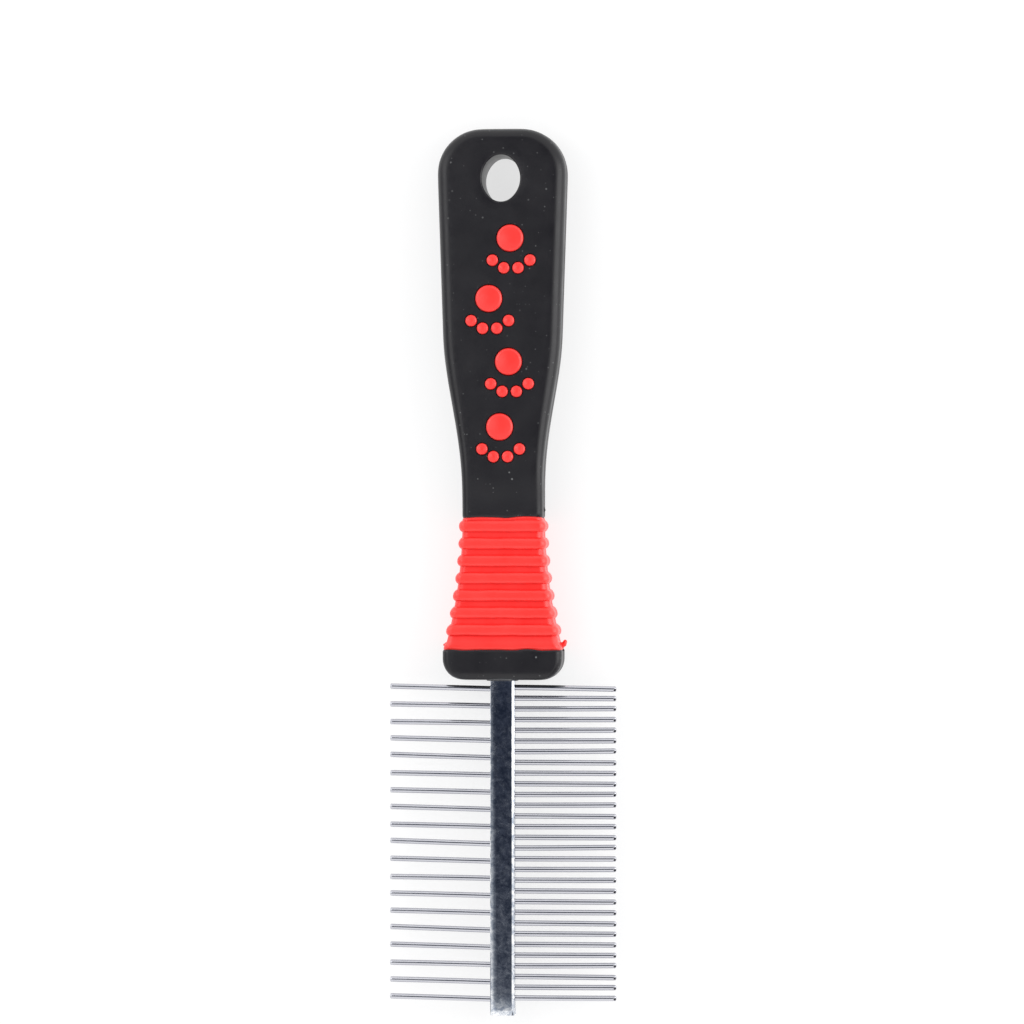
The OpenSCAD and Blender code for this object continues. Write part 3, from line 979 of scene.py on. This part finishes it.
def tooth_hole(bm, node, side):
    """A tooth's blind hole in the spine. Returns the hole's mouth."""
    seat, tip = tooth_line(node)
    along = (tip - seat).normalized()
    mouth = seat + along * ((side * SPINE_HIGH.x - seat.x) / along.x)
    r = TOOTH_R + HOLE_PLAY
    walls = []
    for centre in (mouth, seat):
        walls.append(add_ring(bm, [
            (centre.x, centre.y + r * cos(a), MID_Z + r * sin(a)) for a in turn(TOOTH_SIDES)]))
    bridge(bm, *walls)
    bm.faces.new(walls[1])
    return walls[0]


def build_spine(material):
    bm = bmesh.new()
    rows = []
    for y in spine_stations():
        d = max(0.0, END_ROUND - (y - TIP_Y))
        shrink = END_ROUND - sqrt(max(0.0, END_ROUND ** 2 - d * d))
        narrow = (spine_half_width(y) - shrink) / (SPINE_HIGH.x - shrink)
        slope = END_SLOPE * max(0.0, 1 - (y - TIP_Y) / END_SLOPE_LEN) ** 2
        ring = [(x * narrow, py, z - (slope if z > MID_Z else 0.0)) for x, py, z in spine_ring(y, shrink)]
        rows.append(add_ring(bm, ring))

    # a ring's first half is its top, from the fine teeth's side to the coarse ones', and then its bottom
    half = len(rows[0]) // 2
    for face in (slice(0, half), slice(half, None)):
        for a, b in zip(rows, rows[1:]):
            bridge(bm, a[face], b[face], closed=False)
    # the sides between them have the teeth's holes
    for side, nodes, upper, lower in ((1, FINE, 0, -1), (-1, COARSE, half - 1, half)):
        loop = [row[upper] for row in rows] + [row[lower] for row in reversed(rows)]
        holes = [tooth_hole(bm, node, side) for node in nodes]
        fill(bm, loop, holes, lambda co: (co.y, co.z), [],
             lambda y, z, side=side: (side * spine_half_width(y), y, z))
    for row in (rows[0], rows[-1]):
        bm.faces.new(row)
    return make_piece("spine_bar", bm, material, ["spine"], sharp=30)


def tooth_profile(root, length, blunt):
    """A tooth as (distance from its seat, radius): its shaft, and a tip that is a flattened dome. root is
    where it leaves the spine, and length the distance to the centre of the tip."""
    end = length + TOOTH_R
    stops = [(0.0, TOOTH_R), (root - 0.1, TOOTH_R)]
    stops += [(root + (length - root) * k / 8, TOOTH_R) for k in range(8)]
    # close rings before the tip keep the shading of its facet off the shaft
    stops += [(end - TOOTH_R * k, TOOTH_R) for k in (1.25, 1.1, 0.95, 0.8) if k > blunt]
    for a in (0, 18, 36, 54, 72, 84):
        stops.append((end - blunt * TOOTH_R * (1 - sin(radians(a))), TOOTH_R * cos(radians(a)) ** 0.8))
    return stops


def build_tooth(node, name, material, bend, rise):
    """A tooth: a wire with a rounded tip. Its tip is bent by bend along the comb and by rise upwards."""
    bm = bmesh.new()
    seat, tip = tooth_line(node)
    side = 1 if tip.x > 0 else -1
    blunt = FINE_BLUNT if side > 0 else COARSE_BLUNT
    along = (tip - seat).normalized()
    across = Vector((-along.y, along.x, 0.0)) * side
    up = Vector((0, 0, 1))
    length = (tip - seat).length
    root = (side * SPINE_HIGH.x - seat.x) / along.x
    rows = []
    for d, r in tooth_profile(root, length, blunt):
        t = max(0.0, (d - root) / (length - root))
        centre = seat + along * d + across * bend * t ** 1.4 + up * rise * t * t
        rows.append(add_ring(bm, [
            centre + (across * cos(a) + up * sin(a)) * r for a in turn(TOOTH_SIDES)]))
    for a, b in zip(rows, rows[1:]):
        bridge(bm, a, b)
    bm.faces.new(rows[0])
    end_d = length + TOOTH_R
    end = bm.verts.new((seat + along * end_d + across * bend + up * rise) * MM)
    if side > 0:
        cut_facet(bm, seat + along * (end_d - blunt * TOOTH_R) + across * bend + up * rise)
    for i in range(TOOTH_SIDES):
        bm.faces.new((rows[-1][i], rows[-1][(i + 1) % TOOTH_SIDES], end))
    return make_piece(name, bm, material, [node])


def cut_facet(bm, middle):
    """Presses the cutter's mark, a small flat facet, into the tip whose rounding starts round middle."""
    for vert in bm.verts:
        place = vert.co / MM - middle
        over = FACET.dot(place) - FACET_DEPTH * TOOTH_R
        if over > 0 and place.length < 2 * TOOTH_R:
            vert.co -= FACET * over * MM


def tooth_bend(number, row_name):
    """How far a tooth's tip strays along the comb, and how far it stands up."""
    seed = number + (50 if row_name == "fine" else 0)
    stray = STRAY * noise.noise(Vector((seed * 3.7, 1.3, 0.0)))
    rise = RISE * noise.noise(Vector((seed * 5.1, 8.3, 0.0)))
    lean = COARSE_LEAN if row_name == "coarse" else FIRST_LEANS.get(number, FINE_LEAN)
    return stray + lean, rise


# ---- floor, light and camera ----


def build_floor():
    g = Graph("floor", Roughness=0.6, Emission_Strength=FLOOR_GLOW)
    cloudy = g.noise(6, 2.0)
    g.feed(g.ramp(cloudy, [(0.3, 0.24), (0.7, 0.26)]), "Base Color")
    g.feed(g.ramp(cloudy, [(0.3, 0.99), (0.7, 1.0)]), "Emission Color")
    mesh = bpy.data.meshes.new("floor")
    corners = [(x * FLOOR_SIZE, y * FLOOR_SIZE, 0) for x, y in ((-1, -1), (1, -1), (1, 1), (-1, 1))]
    mesh.from_pydata(corners, [], [(0, 1, 2, 3)])
    mesh.materials.append(g.material)
    floor = add_to_scene("floor", mesh)
    floor.location.z = -FLOOR_DROP


def build_sky():
    """A pale room with a dark ceiling straight above, which the spine's polished face mirrors, a dimmer
    left side, and a dark corner low towards the fine teeth and the free end."""
    world = bpy.data.worlds.new("studio")
    world.use_nodes = True
    sky = Nodes(world.node_tree, "Generated")

    def patch(aim, stops, clutter=0.0):
        """A ramp on how well the direction agrees with aim. Clutter makes its steps uneven."""
        agreement = sky.add("ShaderNodeVectorMath", operation="DOT_PRODUCT")
        agreement.inputs[1].default_value = Vector(aim).normalized()
        sky.link(sky.place, agreement.inputs[0])
        uneven = sky.math("MULTIPLY_ADD", sky.noise(9.0, 4.0, 0.5), clutter, agreement.outputs["Value"])
        return sky.ramp(uneven, stops)

    colour = patch(CEILING_AIM, CEILING, CEILING_CLUTTER)
    for aim, stops in ((LEFT_AIM, LEFT), (CORNER_AIM, CORNER)):
        colour = sky.mix(1.0, colour, patch(aim, stops), "MULTIPLY")
    background = sky.find("BACKGROUND")
    sky.link(colour, background.inputs["Color"])
    background.inputs["Strength"].default_value = SKY_LIGHT
    bpy.context.scene.world = world


def add_light(name, place, size, power):
    data = bpy.data.lights.new(name, "AREA")
    data.shape = "RECTANGLE"
    data.size, data.size_y = size
    data.energy = power
    light = add_to_scene(name, data)
    light.location = place
    light.rotation_euler = (LIGHT_AIM - Vector(place)).to_track_quat("-Z", "Y").to_euler()


def build_camera():
    """Straight above the middle of the view, tilted a little towards the fine teeth."""
    out = Vector((sin(radians(CAMERA_TILT)), 0, cos(radians(CAMERA_TILT))))
    up = Vector((0, 1, 0))
    side = up.cross(out).normalized()
    data = bpy.data.cameras.new("camera")
    data.sensor_width = SENSOR
    data.lens = SENSOR * CAMERA_DISTANCE / VIEW_WIDTH
    camera = add_to_scene("camera", data)
    turned = Matrix((side, up, out)).transposed().to_4x4()
    camera.matrix_world = Matrix.Translation(TARGET + out * CAMERA_DISTANCE) @ turned
    bpy.context.scene.camera = camera


# ---- the scene ----

black, red = black_rubber(), red_rubber()
steel, wire = spine_chrome(), wire_chrome()

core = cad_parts["handle_core"]
core.data.materials.clear()
core.data.materials.append(core_plastic())

build_grip(black)
build_collar(red)
build_cap(black)
for print_node in PRINTS:
    build_print(print_node, red)
build_spine(steel)
for row_name, row_nodes in (("coarse", COARSE), ("fine", FINE)):
    for number, tooth_node in enumerate(row_nodes, 1):
        build_tooth(tooth_node, f"wire_{row_name}_{number:02d}", wire, *tooth_bend(number, row_name))

build_floor()
build_sky()
# name, place, width and height, in metres, and power in watts
add_light("soft_right", (0.65, 0.1, 0.24), (0.42, 0.9), 2.7)
add_light("soft_left", (-0.42, 0.19, 0.40), (0.25, 0.9), 1.15)
build_camera()
bpy.context.scene.view_settings.view_transform = "Standard"
